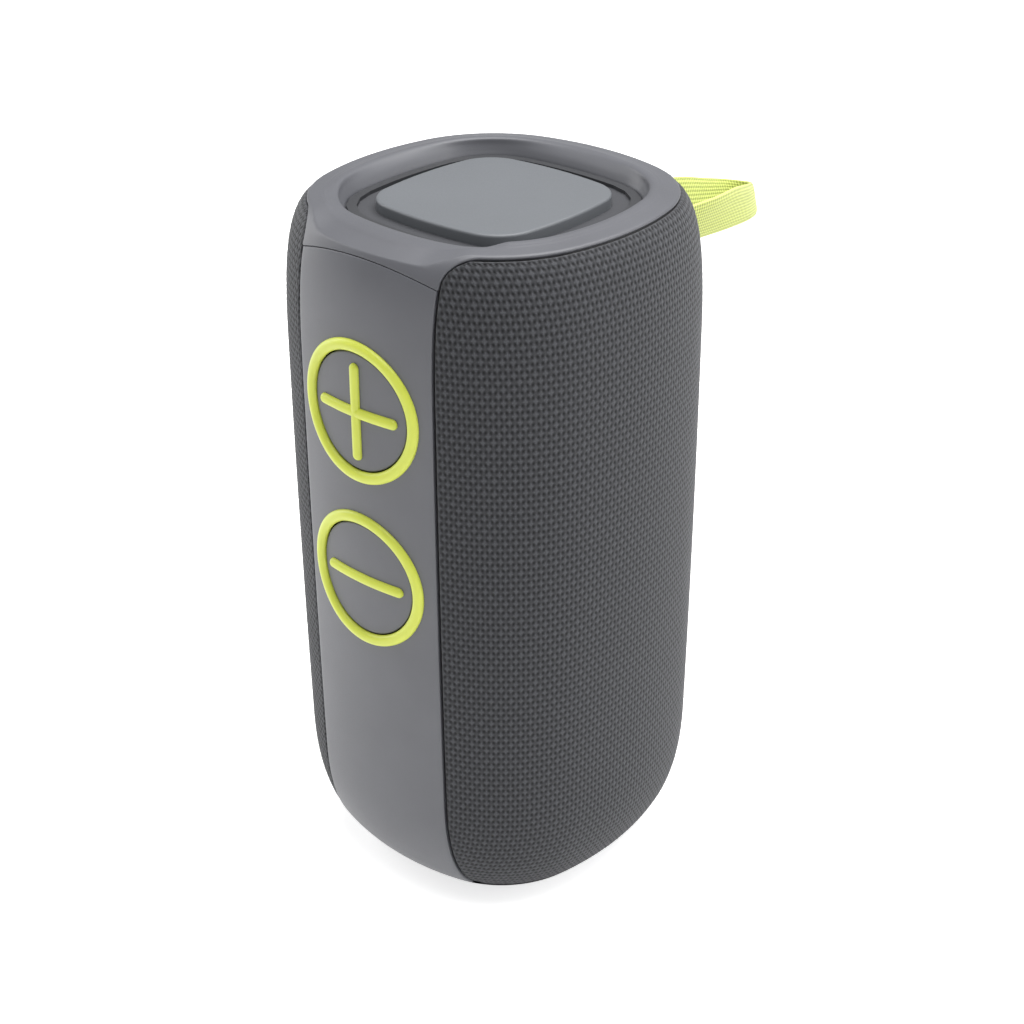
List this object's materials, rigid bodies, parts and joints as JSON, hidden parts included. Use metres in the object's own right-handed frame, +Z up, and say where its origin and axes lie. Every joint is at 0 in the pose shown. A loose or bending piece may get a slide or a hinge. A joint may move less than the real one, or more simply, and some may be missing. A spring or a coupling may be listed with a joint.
{
  "type": "portable bluetooth speaker",
  "caption": "Upright rounded-square portable speaker with woven fabric sides, a control strip with plus and minus keys, a sunk top radiator and a webbing carry loop.",
  "frame": {"origin": "centre of the foot pad's ground face, on the speaker's upright middle line", "axes": "+Z up through the top radiator; -Y out of the control strip with the plus and minus keys; +Y out of the rear strip with the carry loop; the fabric sides and their drivers face +X and -X"},
  "size_m": [0.08, 0.131, 0.1514],
  "materials": {
    "shell": "fine satin",
    "cloth": "coarse woven knots",
    "grille": "plain",
    "accent": "smooth satin",
    "webbing": "knitted",
    "plate": "fine satin",
    "soft_rubber": "matt",
    "foot_rubber": "matt",
    "inner_plastic": "plain",
    "steel": "plated",
    "ferrite": "ground",
    "circuit_board": "solder resist",
    "chip": "moulded",
    "copper": "enamelled wire",
    "spider_cloth": "resin cloth",
    "paper": "pressed paper",
    "cell_sleeve": "shrink sleeve",
    "lens": "clear"
  },
  "bodies": {
    "root": {"top_rim": "shell", "front_strip": "shell", "rear_strip": "shell", "base_cap": "shell", "foot_pad": "foot_rubber", "housing": "inner_plastic", "cloth_right": "cloth", "cloth_left": "cloth", "grille_right": "grille", "grille_left": "grille", "radiator_frame": "inner_plastic", "radiator_surround": "soft_rubber", "plus_ring": "accent", "plus_switch": "steel", "minus_ring": "accent", "minus_switch": "steel", "button_board": "circuit_board", "main_board": "circuit_board", "board_chips": "chip", "usb_socket": "steel", "aux_socket": "chip", "power_switch": "steel", "led_lens": "lens", "right_basket": "inner_plastic", "right_magnet": "ferrite", "right_spider": "spider_cloth", "right_surround": "soft_rubber", "left_basket": "inner_plastic", "left_magnet": "ferrite", "left_spider": "spider_cloth", "left_surround": "soft_rubber", "driver_screws": "steel", "base_screws": "steel", "board_screws": "steel", "battery_cells": "cell_sleeve", "battery_cradle": "inner_plastic", "strap": "webbing", "strap_pin": "steel"},
    "plus_button": {"plus_key": "shell", "plus_symbol": "accent", "plus_plunger": "chip"},
    "minus_button": {"minus_key": "shell", "minus_symbol": "accent", "minus_plunger": "chip"},
    "power_button": {"power_key": "shell", "power_plunger": "chip"},
    "radiator": {"radiator_plate": "plate", "radiator_weight": "steel"},
    "right_diaphragm": {"right_cone": "paper", "right_dustcap": "paper", "right_coil": "copper"},
    "left_diaphragm": {"left_cone": "paper", "left_dustcap": "paper", "left_coil": "copper"},
    "cover": {"port_cover": "shell"}
  },
  "joints": [
    {"name": "plus_press", "type": "slide", "parent": "root", "child": "plus_button", "axis": [0, 1, 0], "range_m": [0, 0.0007], "stiffness_N_per_m": 1500},
    {"name": "minus_press", "type": "slide", "parent": "root", "child": "minus_button", "axis": [0, 1, 0], "range_m": [0, 0.0007], "stiffness_N_per_m": 1500},
    {"name": "power_press", "type": "slide", "parent": "root", "child": "power_button", "axis": [0, -1, 0], "range_m": [0, 0.0005], "stiffness_N_per_m": 1500},
    {"name": "radiator_stroke", "type": "slide", "parent": "root", "child": "radiator", "axis": [0, 0, 1], "range_m": [-0.0015, 0.0015], "stiffness_N_per_m": 1500, "deforming": ["radiator_surround"]},
    {"name": "right_stroke", "type": "slide", "parent": "root", "child": "right_diaphragm", "axis": [1, 0, 0], "range_m": [-0.0015, 0.0015], "stiffness_N_per_m": 1200, "deforming": ["right_surround", "right_spider"]},
    {"name": "left_stroke", "type": "slide", "parent": "root", "child": "left_diaphragm", "axis": [-1, 0, 0], "range_m": [-0.0015, 0.0015], "stiffness_N_per_m": 1200, "deforming": ["left_surround", "left_spider"]},
    {"name": "cover_hinge", "type": "hinge", "parent": "root", "child": "cover", "pos_m": [0, 0.0395, 0.0275], "axis": [-1, 0, 0], "range_deg": [0, 100]}
  ]
}
